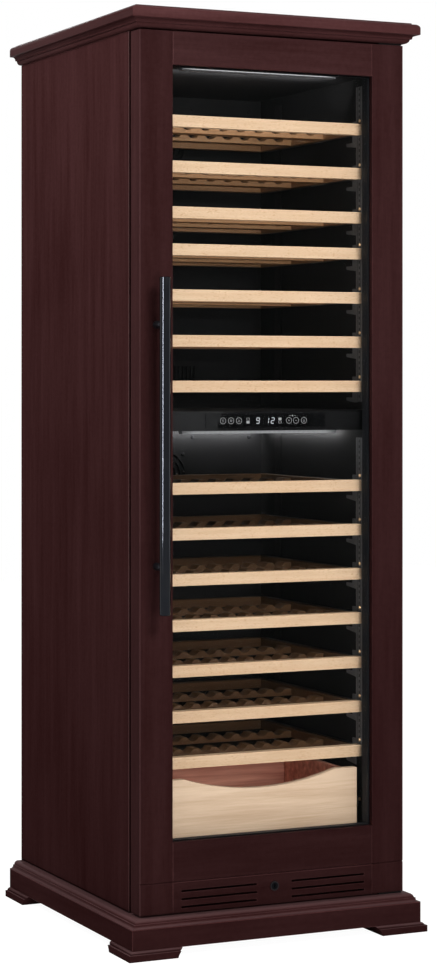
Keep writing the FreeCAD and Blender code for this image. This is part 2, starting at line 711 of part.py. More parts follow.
UPPER_LOWEST_Z = DIVIDER_Z1 + SHELF_FLOOR_GAP + max(HOOK_DROP, FASCIA_H / 2)
LOWER_LOWEST_Z = max(DRAWER_Z1, HUMP_Z) + SHELF_FLOOR_GAP + FASCIA_H / 2
UPPER_LEVELS = shelf_levels(CEILING_Z - UPPER_HEADROOM, UPPER_LOWEST_Z, CLOSE_AFTER)
LOWER_LEVELS = shelf_levels(DIVIDER_Z0 - LOWER_HEADROOM, LOWER_LOWEST_Z, None)


def scalloped_slat(y, z):
    # A cross board, flush with the bearers below, whose top is hollowed in waves for the bottles.
    half = BEARER_OUT_X - BEARER_W
    low = z - BEARER_H / 2
    slat = block(-half, half, y, y + SLAT_D, low, low + SLAT_H)
    count = int(2 * half / SCALLOP_PITCH)
    hollows = []
    for index in range(count):
        x = (index - (count - 1) / 2) * SCALLOP_PITCH
        centre_z = low + SLAT_H + SCALLOP_R - SCALLOP_DEPTH
        hollows.append(rod(V(x, y, centre_z), V(0, 1, 0), 2 * SCALLOP_R, SLAT_D))
    for hollow in hollows:
        slat = slat.cut(hollow)
    return slat


def shelf(name, z):
    low = z - BEARER_H / 2
    high = z + BEARER_H / 2
    fascia = block(-SHELF_HALF_W, SHELF_HALF_W, SHELF_Y, RUNNER_Y, z - FASCIA_H / 2, z + FASCIA_H / 2)
    rail_y = SHELF_BACK_Y - FASCIA_T
    rear = block(-BEARER_OUT_X, BEARER_OUT_X, rail_y, SHELF_BACK_Y, low, high)
    bearers = both_sides(block(BEARER_OUT_X - BEARER_W, BEARER_OUT_X, RUNNER_Y, rail_y, low, high))
    runner = block(BEARER_OUT_X, SHELF_HALF_W, RUNNER_Y, rail_y, z - RUNNER_H / 2, z + RUNNER_H / 2)
    gap = (rail_y - RUNNER_Y - SLAT_COUNT * SLAT_D) / (SLAT_COUNT + 1)
    slats = [scalloped_slat(RUNNER_Y + gap + index * (gap + SLAT_D), z) for index in range(SLAT_COUNT)]
    save(name, fascia, rear, *bearers, *both_sides(runner), *slats)


def shelves():
    for index, z in enumerate(UPPER_LEVELS + LOWER_LEVELS):
        shelf("shelf_%02d" % (index + 1), z)


def fixed_runners():
    rails = []
    rail_y1 = SHELF_BACK_Y - FASCIA_T
    for z in UPPER_LEVELS + LOWER_LEVELS:
        rails += both_sides(block(RAIL_X, UPRIGHT_X, RAIL_Y, rail_y1, z - RAIL_H / 2, z + RAIL_H / 2))
    x0 = DRAWER_HALF_W + DRAWER_RUNNER_T + RUNNER_GAP
    rail_z1 = DRAWER_RAIL_Z + RAIL_H
    rails += both_sides(block(x0, LINER_X, RAIL_Y, DRAWER_BACK_Y, DRAWER_RAIL_Z, rail_z1))
    save("fixed_runners", *rails)


def runner_hook(y, z):
    # A stepped hook on an upright's rear edge, whose lip stands under a runner.
    lip_z = z - HOOK_DROP + HOOK_LIP_H
    outline = [
        (y, z + HOOK_UP),
        ((y + HOOK_WEB_W, z + HOOK_UP),),
        ((y + HOOK_WEB_W, lip_z),),
        ((y + HOOK_REACH, lip_z),),
        ((y + HOOK_REACH, lip_z - HOOK_TIP_H),),
        ((y, z - HOOK_DROP),),
    ]
    return outline_prism(outline, lambda u, w: V(UPRIGHT_X, u, w), V(UPRIGHT_T, 0, 0))


def rail_uprights():
    strips = []
    front_y = LINER_Y + UPRIGHT_FRONT_GAP
    back_y = SHELF_BACK_Y - FASCIA_T - UPRIGHT_INSET - UPRIGHT_W
    for floor_z, top_z, levels in ((HUMP_Z, DIVIDER_Z0, LOWER_LEVELS), (DIVIDER_Z1, CEILING_Z, UPPER_LEVELS)):
        z0 = floor_z + UPRIGHT_END_GAP
        z1 = top_z - UPRIGHT_END_GAP
        front = block(UPRIGHT_X, LINER_X, front_y, front_y + UPRIGHT_W, z0, z1)
        for z in levels:
            front = front.fuse(runner_hook(front_y + UPRIGHT_W, z))
        rear = block(UPRIGHT_X, LINER_X, back_y, back_y + UPRIGHT_W, z0, z1)
        strips += both_sides(front.removeSplitter()) + both_sides(rear)
    save("rail_uprights", *strips)


def bottle_drawer():
    # The front board's top edge is scooped in one long arc, so that a hand can reach in.
    half = DRAWER_HALF_W
    y0 = SHELF_Y
    y1 = y0 + DRAWER_FRONT_T
    end_y = DRAWER_BACK_Y
    scoop_x = half - SCOOP_END_W
    front = outline_prism(
        [
            (-half, DRAWER_Z0),
            ((-half, DRAWER_Z1),),
            ((-scoop_x, DRAWER_Z1),),
            ((0, DRAWER_Z1 - SCOOP_DEPTH), (scoop_x, DRAWER_Z1)),
            ((half, DRAWER_Z1),),
            ((half, DRAWER_Z0),),
        ],
        lambda x, z: V(x, y0, z), V(0, DRAWER_FRONT_T, 0))
    side_top = DRAWER_Z1 - DRAWER_SIDE_DROP
    in_x = half - DRAWER_SIDE_T
    back_y = end_y - DRAWER_SIDE_T
    sides = both_sides(block(in_x, half, y1, end_y, DRAWER_Z0, side_top))
    back = block(-in_x, in_x, back_y, end_y, DRAWER_Z0, side_top)
    bottom_z = DRAWER_Z0 + DRAWER_BOTTOM_UP
    bottom = block(-in_x, in_x, y1, back_y, bottom_z, bottom_z + DRAWER_BOTTOM_T)
    runner_z = DRAWER_RAIL_Z + (RAIL_H - RUNNER_H) / 2
    runner = block(half, half + DRAWER_RUNNER_T, RAIL_Y, end_y, runner_z, runner_z + RUNNER_H)
    save("bottle_drawer", front, back, bottom, *sides, *both_sides(runner))


PIVOT_X = HALF_W - PIVOT_IN
PIVOT_Y = DOOR_T / 2
GLASS_Y = GLASS_LIP_T
INNER_GLASS_Y = GLASS_Y + GLASS_T + GLASS_SPACE
GLAZING_FRAME_Y = INNER_GLASS_Y + GLASS_T


def frame_bars(half_w, z0, z1, width, y0, y1):
    # Four bars round the glass, inside a given outline.
    sides = both_sides(block(half_w - width, half_w, y0, y1, z0, z1))
    inner = half_w - width
    bottom = block(-inner, inner, y0, y1, z0, z0 + width)
    top = block(-inner, inner, y0, y1, z1 - width, z1)
    return [bottom, top, *sides]


def bored_for_hinge(stile):
    for z, up in ((DOOR_Z0, 1), (DOOR_Z1, -1)):
        stile = stile.cut(rod(V(PIVOT_X, PIVOT_Y, z), V(0, 0, up), BUSH_D, PIN_LENGTH))
    return stile


def door_frame():
    rebate = block(
        -OPENING_X - REBATE_W, OPENING_X + REBATE_W, GLASS_LIP_T, DOOR_T,
        GLASS_Z0 - REBATE_W, GLASS_Z1 + REBATE_W)
    groove = outline_prism(
        [
            (0, VENT_TOP_Z - GROOVE_HALF_W),
            ((GROOVE_DEPTH, VENT_TOP_Z),),
            ((0, VENT_TOP_Z + GROOVE_HALF_W),),
        ],
        lambda y, z: V(-HALF_W, y, z), V(DOOR_W, 0, 0))
    seam = outline_prism(
        [(OPENING_X - JOINT_LINE, 0), ((OPENING_X, JOINT_LINE),), ((OPENING_X + JOINT_LINE, 0),)],
        lambda x, y: V(x, y, DOOR_Z0), V(0, 0, DOOR_Z1 - DOOR_Z0))
    cuts = Part.makeCompound([rebate, groove, *both_sides(seam)])
    stile = block(OPENING_X, HALF_W, 0, DOOR_T, DOOR_Z0, DOOR_Z1).cut(cuts)
    left = stile.mirror(V(0, 0, 0), V(1, 0, 0))
    handle_bolts = [rod(V(HANDLE_X, 0, z), V(0, 1, 0), POST_D, POST_TENON) for z in POST_LEVELS]
    save("door_left_stile", left.cut(Part.makeCompound(handle_bolts)))
    save("door_right_stile", bored_for_hinge(stile))
    save("door_top_rail", block(-OPENING_X, OPENING_X, 0, DOOR_T, GLASS_Z1, DOOR_Z1).cut(cuts))
    save("door_bottom_rail", block(-OPENING_X, OPENING_X, 0, DOOR_T, VENT_TOP_Z, GLASS_Z0).cut(cuts))
    vent = block(-OPENING_X, OPENING_X, 0, DOOR_T, DOOR_Z0, VENT_TOP_Z).cut(cuts).cut(slot_rows(0, DOOR_T))
    lock_hole = rod(V(0, 0, LOCK_Z), V(0, 1, 0), LOCK_D + 2 * RUNNING_GAP, DOOR_T)
    save("door_vent_panel", vent.cut(lock_hole))


def glazing():
    half = OPENING_X + REBATE_W - GLASS_EDGE_GAP
    z0 = GLASS_Z0 - REBATE_W + GLASS_EDGE_GAP
    z1 = GLASS_Z1 + REBATE_W - GLASS_EDGE_GAP
    panes = [block(-half, half, y, y + GLASS_T, z0, z1) for y in (GLASS_Y, INNER_GLASS_Y)]
    save("glass_panes", *panes)
    save("glass_spacer", *frame_bars(half, z0, z1, SPACER_W, GLASS_Y + GLASS_T, INNER_GLASS_Y))
    out = OPENING_X + REBATE_W
    bars = frame_bars(out, GLASS_Z0 - REBATE_W, GLASS_Z1 + REBATE_W, GLAZING_FRAME_W, GLAZING_FRAME_Y, DOOR_T)
    save("glazing_frame", *bars)
    z0 = MACHINE_FRONT_TOP_Z + GASKET_EDGE
    z1 = DOOR_Z1 - GASKET_INSET
    save("door_gasket", *frame_bars(HALF_W - GASKET_INSET, z0, z1, GASKET_W, DOOR_T, CARCASS_Y))


HANDLE_X = STILE_W / 2 - HALF_W
HANDLE_TOP_Z = HANDLE_BOTTOM_Z + HANDLE_LENGTH
POST_LEVELS = (HANDLE_BOTTOM_Z + POST_INSET, HANDLE_TOP_Z - POST_INSET)
LOCK_Z = DOOR_Z0 + LOCK_UP


def handle():
    axis = V(HANDLE_X, -HANDLE_STANDOFF, HANDLE_BOTTOM_Z)
    bar = rod(axis, V(0, 0, 1), HANDLE_D, HANDLE_LENGTH)
    posts = [
        rod(V(HANDLE_X, -HANDLE_STANDOFF, z), V(0, 1, 0), POST_D, HANDLE_STANDOFF + POST_TENON).cut(bar)
        for z in POST_LEVELS]
    ends = [edge for edge in bar.Edges if edge.Length < HANDLE_LENGTH / 2]
    save("handle_bar", bar.makeChamfer(HANDLE_EDGE, ends))
    save("handle_posts", *posts)


def lock():
    # The barrel turns in the vent panel and carries a cam that hooks behind the strike.
    back = V(0, 1, 0)
    barrel = rod(V(0, -LOCK_PROUD, LOCK_Z), back, LOCK_D, LOCK_PROUD + DOOR_T)
    neck = rod(V(0, DOOR_T, LOCK_Z), back, LOCK_NECK_D, CAM_GAP)
    cam_y = DOOR_T + CAM_GAP
    cam = block(-CAM_REACH, CAM_W / 2, cam_y, cam_y + CAM_T, LOCK_Z - CAM_W / 2, LOCK_Z + CAM_W / 2)
    keyway = block(
        -KEYWAY_W / 2, KEYWAY_W / 2, -LOCK_PROUD, KEYWAY_DEPTH - LOCK_PROUD,
        LOCK_Z - KEYWAY_H / 2, LOCK_Z + KEYWAY_H / 2)
    save("lock_cylinder", barrel.fuse(neck).fuse(cam).cut(keyway).removeSplitter())
    tab_y = cam_y - STRIKE_GAP - STRIKE_T
    leg_z = LOCK_Z + CAM_REACH + STRIKE_GAP
    top_z = leg_z + STRIKE_T
    half = STRIKE_W / 2
    tab = block(-half, half, tab_y, tab_y + STRIKE_T, top_z - STRIKE_TAB_H, top_z)
    leg = block(-half, half, tab_y + STRIKE_T, CARCASS_Y, leg_z, top_z)
    save("lock_strike", tab.fuse(leg).removeSplitter())


def hinges():
    brackets = []
    bushes = []
    x1 = HALF_W - HINGE_EDGE
    y0 = PIVOT_Y - HINGE_PLATE_D / 2
    for plate_z, door_z, up in ((BASE_Z, DOOR_Z0, 1), (DOOR_Z1 + THRUST_GAP, DOOR_Z1, -1)):
        plate = block(x1 - HINGE_PLATE_W, x1, y0, y0 + HINGE_PLATE_D, plate_z, plate_z + HINGE_PLATE_T)
        along = V(0, 0, up)
        pin_z = door_z - up * THRUST_GAP
        pin = rod(V(PIVOT_X, PIVOT_Y, pin_z), along, PIN_D, PIN_LENGTH)
        brackets.append(plate.fuse(pin).removeSplitter())
        sleeve = rod(V(PIVOT_X, PIVOT_Y, door_z), along, BUSH_D, PIN_LENGTH)
        rim_z = door_z - up * (THRUST_GAP - RUNNING_GAP)
        rim = rod(V(PIVOT_X, PIVOT_Y, rim_z), along, BUSH_FLANGE_D, THRUST_GAP - RUNNING_GAP)
        bore = rod(V(PIVOT_X, PIVOT_Y, rim_z), along, PIN_D + 2 * RUNNING_GAP, THRUST_GAP + PIN_LENGTH)
        bushes.append(sleeve.fuse(rim).cut(bore).removeSplitter())
    save("hinge_brackets", *brackets)
    save("hinge_bushes", *bushes)


os.makedirs("parts", exist_ok=True)
cornice_cap()
cornice_moulding()
plinth_top()
plinth_boards()
bracket_feet()
side_panels()
outer_case()
rear_panel()
machine_cover()
foam_insulation()
front_flange()
liners()
zone_divider()
control_panel()
light_bars()
duct_covers()
evaporators()
fans()
compressor()
condenser()
mains_inlet()
kick_grille()
shelves()
fixed_runners()
rail_uprights()
bottle_drawer()
door_frame()
glazing()
handle()
lock()
hinges()
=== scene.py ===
import math

import bmesh
import bpy
from mathutils import Matrix, Vector


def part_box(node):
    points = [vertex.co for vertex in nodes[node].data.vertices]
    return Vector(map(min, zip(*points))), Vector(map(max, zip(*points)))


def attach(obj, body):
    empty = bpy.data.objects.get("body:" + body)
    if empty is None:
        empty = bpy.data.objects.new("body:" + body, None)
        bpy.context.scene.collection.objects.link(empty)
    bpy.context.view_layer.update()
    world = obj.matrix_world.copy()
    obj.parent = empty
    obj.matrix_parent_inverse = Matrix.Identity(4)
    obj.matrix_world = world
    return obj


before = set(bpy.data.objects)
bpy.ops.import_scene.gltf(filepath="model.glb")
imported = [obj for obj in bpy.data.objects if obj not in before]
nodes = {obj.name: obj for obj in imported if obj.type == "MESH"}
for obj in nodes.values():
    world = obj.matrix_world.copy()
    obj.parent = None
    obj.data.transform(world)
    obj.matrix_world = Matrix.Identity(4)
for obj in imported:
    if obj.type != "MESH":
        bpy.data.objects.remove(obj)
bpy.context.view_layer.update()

# Bracket feet and plinth: solid mahogany, moulded on the router, mitred at the front corners and
# glued up into one base. The wood is stained a deep red brown and sealed with satin lacquer.


class Shade:
    # One socket of a finish; sums on it add Math nodes to the finish.
    def __init__(self, tree, socket=None):
        self.tree = tree
        self.socket = socket

    def node(self, kind, settings=None, plugs=None, out=0):
        made = self.tree.nodes.new(kind)
        for key, value in (settings or {}).items():
            setattr(made, key, value)
        for key, value in (plugs or {}).items():
            if isinstance(value, Shade):
                self.tree.links.new(value.socket, made.inputs[key])
            else:
                made.inputs[key].default_value = value
        return Shade(self.tree, made.outputs[out] if made.outputs else None)

    def maths(self, operation, first, second=0.0):
        return self.node("ShaderNodeMath", {"operation": operation}, {0: first, 1: second})

    def __add__(self, other):
        return self.maths("ADD", self, other)

    def __radd__(self, other):
        return self.maths("ADD", other, self)

    def __sub__(self, other):
        return self.maths("SUBTRACT", self, other)

    def __rsub__(self, other):
        return self.maths("SUBTRACT", other, self)

    def __mul__(self, other):
        return self.maths("MULTIPLY", self, other)

    def __rmul__(self, other):
        return self.maths("MULTIPLY", other, self)

    def __mod__(self, other):
        return self.maths("FLOORED_MODULO", self, other)

    def __gt__(self, other):
        return self.maths("GREATER_THAN", self, other)

    def __lt__(self, other):
        return self.maths("LESS_THAN", self, other)

    def __abs__(self):
        return self.maths("ABSOLUTE", self)

    def most(self, other):
        return self.maths("MAXIMUM", self, other)

    def least(self, other):
        return self.maths("MINIMUM", self, other)

    def reach(self, other):
        return self.maths("POWER", self * self + other * other, 0.5)

    def repeat(self, step):
        # How far a point is from the middle of its step, along a row of equal steps.
        return abs((self % step) - step / 2)

    def ramp(self, low, high):
        return self.node("ShaderNodeMapRange", {}, {"Value": self, "From Min": low, "From Max": high})

    def tint(self, low, high):
        return self.node("ShaderNodeMix", {"data_type": "RGBA"}, {0: self, 6: low, 7: high}, out=2)

    def blend(self, low, high):
        return self.node("ShaderNodeMix", {"data_type": "VECTOR"}, {0: self, 4: low, 5: high}, out=1)

    def place(self):
        return self.node("ShaderNodeTexCoord", out="Object")

    def axis(self, letter):
        return self.node("ShaderNodeSeparateXYZ", {}, {0: self.place()}, out="xyz".index(letter))

    def axes(self):
        return [self.axis(letter) for letter in "xyz"]

    def noise(self, place, detail=3.0, roughness=0.55, scale=1.0):
        plugs = {"Vector": place, "Scale": scale, "Detail": detail, "Roughness": roughness}
        return self.node("ShaderNodeTexNoise", {}, plugs)

    def cells(self, feature, scale):
        plugs = {"Vector": self.place(), "Scale": scale}
        return self.node("ShaderNodeTexVoronoi", {"feature": feature}, plugs)


def finish(name):
    made = bpy.data.materials.new(name)
    made.use_nodes = True
    made.node_tree.nodes.clear()
    return made, Shade(made.node_tree)


def surface(shade, plugs, height=None, relief=0.0005, strength=0.4):
    plugs = dict(plugs)
    if height is not None:
        bump = {"Height": height, "Distance": relief, "Strength": strength}
        plugs["Normal"] = shade.node("ShaderNodeBump", {}, bump)
    body = shade.node("ShaderNodeBsdfPrincipled", {}, plugs)
    shade.node("ShaderNodeOutputMaterial", {}, {"Surface": body})


def rgb(red, green, blue, lift=1.0):
    return (red * lift, green * lift, blue * lift, 1)


half_width = 0.318
door_front = -0.321


def past_mitre(shade):
    # One on the lengths that return along the sides, nought on the length across the front.
    x = shade.axis("x")
    y = shade.axis("y")
    return ((abs(x) - half_width) > (door_front - y)) * (abs(x) > half_width)


def grain(shade, along, across, run):
    # Object space squeezed along the board, so that noise in it draws out into grain.
    if along == "mitred":
        front = grain(shade, "x", across, run)
        sides = grain(shade, "y", across, run)
        return past_mitre(shade).blend(front, sides)
    scale = [across] * 3
    scale["xyz".index(along)] = run
    return shade.node("ShaderNodeMapping", {}, {"Vector": shade.place(), "Scale": scale})


def mahogany(name, along, sheen, lift=1.0, painted_edge_highlight=False, painted_side_shade=0.0, painted_top_highlight=0.0):
    # The stain lies thicker in the pores. A stile's outer edge takes a painted highlight, and lift makes
    # lighter and darker copies of the stain for the light each piece catches. It is painted darker
    # towards the floor, as shade.
    wood, shade = finish(name)
    x, y, z = shade.axes()
    cloud = shade.noise(shade.place(), 2.0, 0.5, 2.6)
    band = shade.noise(grain(shade, along, 26.0, 1.6), 3.0, 0.6)
    streak = shade.noise(grain(shade, along, 95.0, 6.0), 4.0, 0.6)
    mottle = shade.noise(shade.place(), 4.0, 0.65, 110.0)
    fibre = shade.noise(grain(shade, along, 640.0, 22.0), 3.0, 0.6)
    pores = fibre.ramp(0.58, 0.76)
    tone = (band * 0.36 + streak * 0.22 + mottle * 0.2 + cloud * 0.22).ramp(0.37, 0.63)
    stain = tone.tint(rgb(0.0235, 0.0074, 0.0074, lift), rgb(0.0440, 0.0168, 0.0170, lift))
    stain = (pores * 0.5).tint(stain, rgb(0.012, 0.0030, 0.0030, lift))
    # Painted shade: darker towards the floor, where the lamps' light falls off.
    painted_low_shade = (1 - z.ramp(0.2, 1.5)) * 0.3
    stain = painted_low_shade.tint(stain, rgb(0.009, 0.0018, 0.0018, lift))
    if along == "mitred":
        glue_line = abs((abs(x) - half_width) + (y - door_front)) < 0.0003
        stain = (glue_line * (abs(x) > half_width) * 0.8).tint(stain, rgb(0.006, 0.002, 0.002))
    # Painted shade on the side returns of a mitred board, darker than its lit front.
    if painted_side_shade:
        stain = (past_mitre(shade) * painted_side_shade).tint(stain, rgb(0.012, 0.0022, 0.0024))
    # Painted highlight on upward-facing facets, where the mouldings catch the light from above.
    if painted_top_highlight:
        facing = shade.node("ShaderNodeTexCoord", out="Normal")
        upward_highlight = shade.node("ShaderNodeSeparateXYZ", {}, {0: facing}, out=2).ramp(0.3, 0.8)
        stain = (upward_highlight * painted_top_highlight).tint(stain, rgb(0.120, 0.068, 0.069))
    # Painted shade along the foot of an upright board, in the crease where it meets the base.
    if along == "z":
        crease_shade = z.ramp(0.0875, 0.0840)
        stain = (crease_shade * 0.9).tint(stain, rgb(0.003, 0.001, 0.001))
    # Painted highlight along the outer edge of a stile, fainter across its side face.
    if painted_edge_highlight:
        flank = abs(x) > 0.3178
        edge_highlight = abs(x).ramp(0.3150, 0.3174) * (0.34 - flank * 0.28)
        stain = edge_highlight.tint(stain, rgb(0.115, 0.060, 0.062))
    surface(shade, {
        "Base Color": stain,
        "Roughness": 0.36 + streak * 0.12 + pores * 0.06,
        "Specular IOR Level": sheen,
    }, streak * 0.35 - pores * 0.65, 0.00035, 0.35)
    return wood


def dress(name, material, soft=0.0, highlight_edging=None):
    # A finish on a CAD node, with its sharp edges eased by hand sanding or by the tool. A lighter edge
    # copy of the finish on the eased faces is a painted highlight.
    piece = nodes[name]
    piece.data.materials.clear()
    piece.data.materials.append(material)
    if soft:
        weld = piece.modifiers.new("join", "WELD")
        weld.merge_threshold = 0.00001
        edge = piece.modifiers.new("eased", "BEVEL")
        edge.width = soft
        edge.segments = 2
        edge.limit_method = "ANGLE"
        edge.angle_limit = math.radians(38)
        if highlight_edging:
            piece.data.materials.append(highlight_edging)
            edge.material = 1


# Lighter and darker copies of one stain: the plinth top is painted lighter than the boards below, as the
# light it catches, and the edge copy is a painted highlight.
plinth_mahogany = mahogany("mahogany_plinth", "mitred", 0.0, 0.92, painted_top_highlight=0.5)
plinth_top_mahogany = mahogany("mahogany_plinth_top", "mitred", 0.004, 1.4, painted_top_highlight=0.4)
plinth_edge_highlight = mahogany("mahogany_plinth_edge", "mitred", 0.03, 3.4)
dress("bracket_feet", plinth_mahogany, 0.0008, plinth_edge_highlight)
dress("plinth_boards", plinth_mahogany, 0.0008, plinth_edge_highlight)
dress("plinth_top", plinth_top_mahogany, 0.0008, plinth_edge_highlight)

# Side boards: two tall veneered boards that case the cooler, with upright grain.
# They are screwed to the base and the cornice from inside, so that no fixing shows.
# The much lighter edge copy is a painted highlight along the eased edges.
upright_mahogany = mahogany("mahogany_upright", "z", 0.0, 0.95)
upright_edge_highlight = mahogany("mahogany_upright_edge", "z", 0.05, 2.2)
dress("left_side_panel", upright_mahogany, 0.0015, upright_edge_highlight)
dress("right_side_panel", upright_mahogany, 0.0015, upright_edge_highlight)

# Cornice: an ovolo and cove moulding under a thicker cap board with a rounded nose.
# Both run round the front and the two sides and are mitred like the plinth.
# The cap is a lighter copy of the stain, a painted highlight on its nose, with painted shade on its side
# returns; the edge copy is a painted highlight.
cornice_mahogany = mahogany("mahogany_cornice", "mitred", 0.002, 1.2)
cap_mahogany = mahogany("mahogany_cap", "mitred", 0.010, 1.65, painted_side_shade=0.6)
cornice_edge_highlight = mahogany("mahogany_cornice_edge", "mitred", 0.06, 3.2)
dress("cornice_moulding", cornice_mahogany, 0.0007, cornice_edge_highlight)
dress("cornice_cap", cap_mahogany, 0.0010, cornice_edge_highlight)

# Outer case, rear panel, machine cover and kick grille: folded sheet steel, powder coated black.
# The rear sheets are held by flush zinc screws along their edges.


def powder_coat(name, black, screws=None):
    coat, shade = finish(name)
    peel = shade.noise(shade.place(), 2.0, 0.5, 900.0)
    dust = shade.noise(shade.place(), 4.0, 0.6, 14.0).ramp(0.4, 0.75)
    dusty = [part * 1.7 + 0.004 for part in black]
    base = dust.tint(rgb(*black), rgb(*dusty))
    rough = 0.5 + dust * 0.14
    height = peel
    metal = 0.0
    if screws:
        low, high, column, rows = screws
        dx = abs(abs(shade.axis("x")) - column)
        dz = (shade.axis("z") - low).repeat((high - low) / rows)
        reach = dx.reach(dz)
        head = reach < 0.0042
        cross = head * (dx.least(dz) < 0.0006) * (reach < 0.0028)
        rim = abs(reach - 0.0045) < 0.0005
        base = head.tint(base, rgb(0.42, 0.42, 0.40))
        base = cross.tint(base, rgb(0.02, 0.02, 0.02))
        rough = rough - head * 0.2
        height = peel * 0.4 - rim * 3.0 - cross * 4.0
        metal = head * 0.9
    surface(shade, {
        "Base Color": base,
        "Roughness": rough,
        "Metallic": metal,
    }, height, 0.0002, 0.25)
    return coat


# The two columns of screws on each sheet: foot, top, distance from the middle and number.
rear_screws = (0.322, 1.962, 0.289, 9)
cover_screws = (0.082, 0.322, 0.289, 2)
case_black = powder_coat("case_powder_coat", (0.011, 0.011, 0.012))
dress("outer_case", case_black)
dress("kick_grille", case_black, 0.0004)
dress("rear_panel", powder_coat("rear_sheet", (0.020, 0.020, 0.021), rear_screws))
dress("machine_cover", powder_coat("machine_cover_sheet", (0.026, 0.026, 0.027), cover_screws))

# Foam: polyurethane that is blown between the case and the liners and sets in place.
# It is pale yellow, with small closed cells.
foam, shade = finish("blown_foam")
cells = shade.cells("F1", 520.0)
cloud = shade.noise(shade.place(), 3.0, 0.6, 9.0)
surface(shade, {
    "Base Color": cloud.ramp(0.3, 0.7).tint(rgb(0.58, 0.47, 0.24), rgb(0.74, 0.64, 0.39)),
    "Roughness": 0.85 + cells * 0.1,
}, cells, 0.0008, 0.6)
dress("foam_insulation", foam)

# Compressor: a deep-drawn steel can in black enamel, its two halves welded round the middle,
# on a pressed mounting plate. The condenser beside it and the evaporators in the two zones
# are aluminium fins on a copper coil.
weld_level = 0.178
enamel, shade = finish("compressor_enamel")
peel = shade.noise(shade.place(), 2.0, 0.5, 260.0)
beads = shade.noise(shade.place(), 1.0, 0.5, 420.0)
weld = abs(shade.axis("z") - weld_level).ramp(0.004, 0.0)
surface(shade, {
    "Base Color": (weld * beads).tint(rgb(0.010, 0.010, 0.011), rgb(0.06, 0.055, 0.05)),
    "Roughness": 0.26 + peel * 0.12 + weld * 0.2,
    "Specular IOR Level": 0.5,
}, peel * 0.2 + weld * (0.6 + beads), 0.0012, 0.5)
dress("compressor", enamel, 0.0006)

coil_pitch = 0.025
fins, shade = finish("condenser_fins")
brushed = shade.noise(grain(shade, "z", 900.0, 14.0), 3.0, 0.6)
coil = shade.axis("z").repeat(coil_pitch).ramp(0.0042, 0.0030)
surface(shade, {
    "Base Color": coil.tint(rgb(0.62, 0.63, 0.64), rgb(0.60, 0.30, 0.18)),
    "Roughness": 0.36 + brushed * 0.22,
    "Metallic": 0.95,
}, brushed * 0.3 + coil, 0.0009, 0.4)
dress("condenser", fins)
dress("evaporators", fins)

# Fans and their motors: glass-filled nylon rotors on small shaded-pole motors.
# The motors are painted cans, held to the back wall or on a post.
nylon, shade = finish("fan_nylon")
speck = shade.noise(shade.place(), 3.0, 0.6, 700.0)
surface(shade, {
    "Base Color": speck.ramp(0.42, 0.7).tint(rgb(0.012, 0.012, 0.013), rgb(0.026, 0.026, 0.027)),
    "Roughness": 0.42 + speck * 0.14,
}, speck, 0.0002, 0.3)
for name in ("upper_fan", "lower_fan", "condenser_fan"):
    dress(name, nylon, 0.0003)

seam_pitch = 0.012
motor_paint, shade = finish("motor_paint")
peel = shade.noise(shade.place(), 2.0, 0.5, 420.0)
seam = shade.axis("y").repeat(seam_pitch).ramp(0.0012, 0.0004)
surface(shade, {
    "Base Color": seam.tint(rgb(0.045, 0.046, 0.05), rgb(0.012, 0.012, 0.012)),
    "Roughness": 0.4 + peel * 0.15,
    "Metallic": 0.35,
}, peel * 0.3 - seam, 0.0006, 0.4)
dress("fan_motors", motor_paint, 0.0003)

# Mains inlet: a moulded nylon socket for a plug-in lead, with three brass pins.
# It is clipped into the machine cover from behind.
inlet_x = -0.25
inlet_z = 0.1525
pin_half = 0.0022
half_pitch = 0.0035
socket_nylon, shade = finish("inlet_nylon_and_brass")
x, y, z = shade.axes()
from_pin = abs(abs(abs(x - inlet_x) - half_pitch) - half_pitch)
pin = (abs(z - inlet_z) < pin_half) * (from_pin < pin_half) * (y > 0.3595) * (y < 0.3755)
speck = shade.noise(shade.place(), 2.0, 0.5, 800.0)
surface(shade, {
    "Base Color": pin.tint(rgb(0.014, 0.014, 0.015), rgb(0.66, 0.50, 0.24)),
    "Metallic": pin,
    "Roughness": 0.45 + speck * 0.12 - pin * 0.15,
}, speck, 0.0002, 0.25)
dress("mains_inlet", socket_nylon, 0.0004)

# Liners, divider and flange: black ABS sheet, vacuum formed into the two zones. The sheet has a fine
# leathery texture that keeps it dull even close to the lights; the flange round the opening is smoother.
liner_black, shade = finish("liner_abs")
hide = shade.cells("DISTANCE_TO_EDGE", 650.0)
drawn = shade.noise(shade.place(), 2.0, 0.5, 6.0)
surface(shade, {
    "Base Color": drawn.ramp(0.35, 0.7).tint(rgb(0.0100, 0.0100, 0.0104), rgb(0.0130, 0.0130, 0.0136)),
    "Roughness": 0.5 + drawn * 0.14,
    "Specular IOR Level": 0.05,
}, hide.ramp(0.0, 0.25), 0.0001, 0.3)
for name in ("upper_liner", "lower_liner", "zone_divider"):
    dress(name, liner_black)

flange_slate, shade = finish("flange_slate")
peel = shade.noise(shade.place(), 2.0, 0.5, 700.0)
tone = shade.noise(shade.place(), 2.0, 0.5, 8.0)
surface(shade, {
    "Base Color": tone.ramp(0.35, 0.7).tint(rgb(0.010, 0.0112, 0.0135), rgb(0.014, 0.0155, 0.0185)),
    "Roughness": 0.42 + peel * 0.1,
    "Specular IOR Level": 0.06,
}, peel, 0.0001, 0.25)
dress("front_flange", flange_slate, 0.0006)

# Duct covers: thin black panels in front of each cold coil, with a round fan grille and intake slots.
# Each is held by two rows of four pan-head screws, and four more stand round its grille.
dress("duct_covers", liner_black, 0.0005)


def link(name, mesh, material):
    piece = bpy.data.objects.new(name, mesh)
    bpy.context.scene.collection.objects.link(piece)
    mesh.materials.append(material)
    return piece


def to_mesh(name, bm, smooth=True):
    mesh = bpy.data.meshes.new(name)
    bm.to_mesh(mesh)
    bm.free()
    if smooth:
        mesh.shade_smooth()
    return mesh


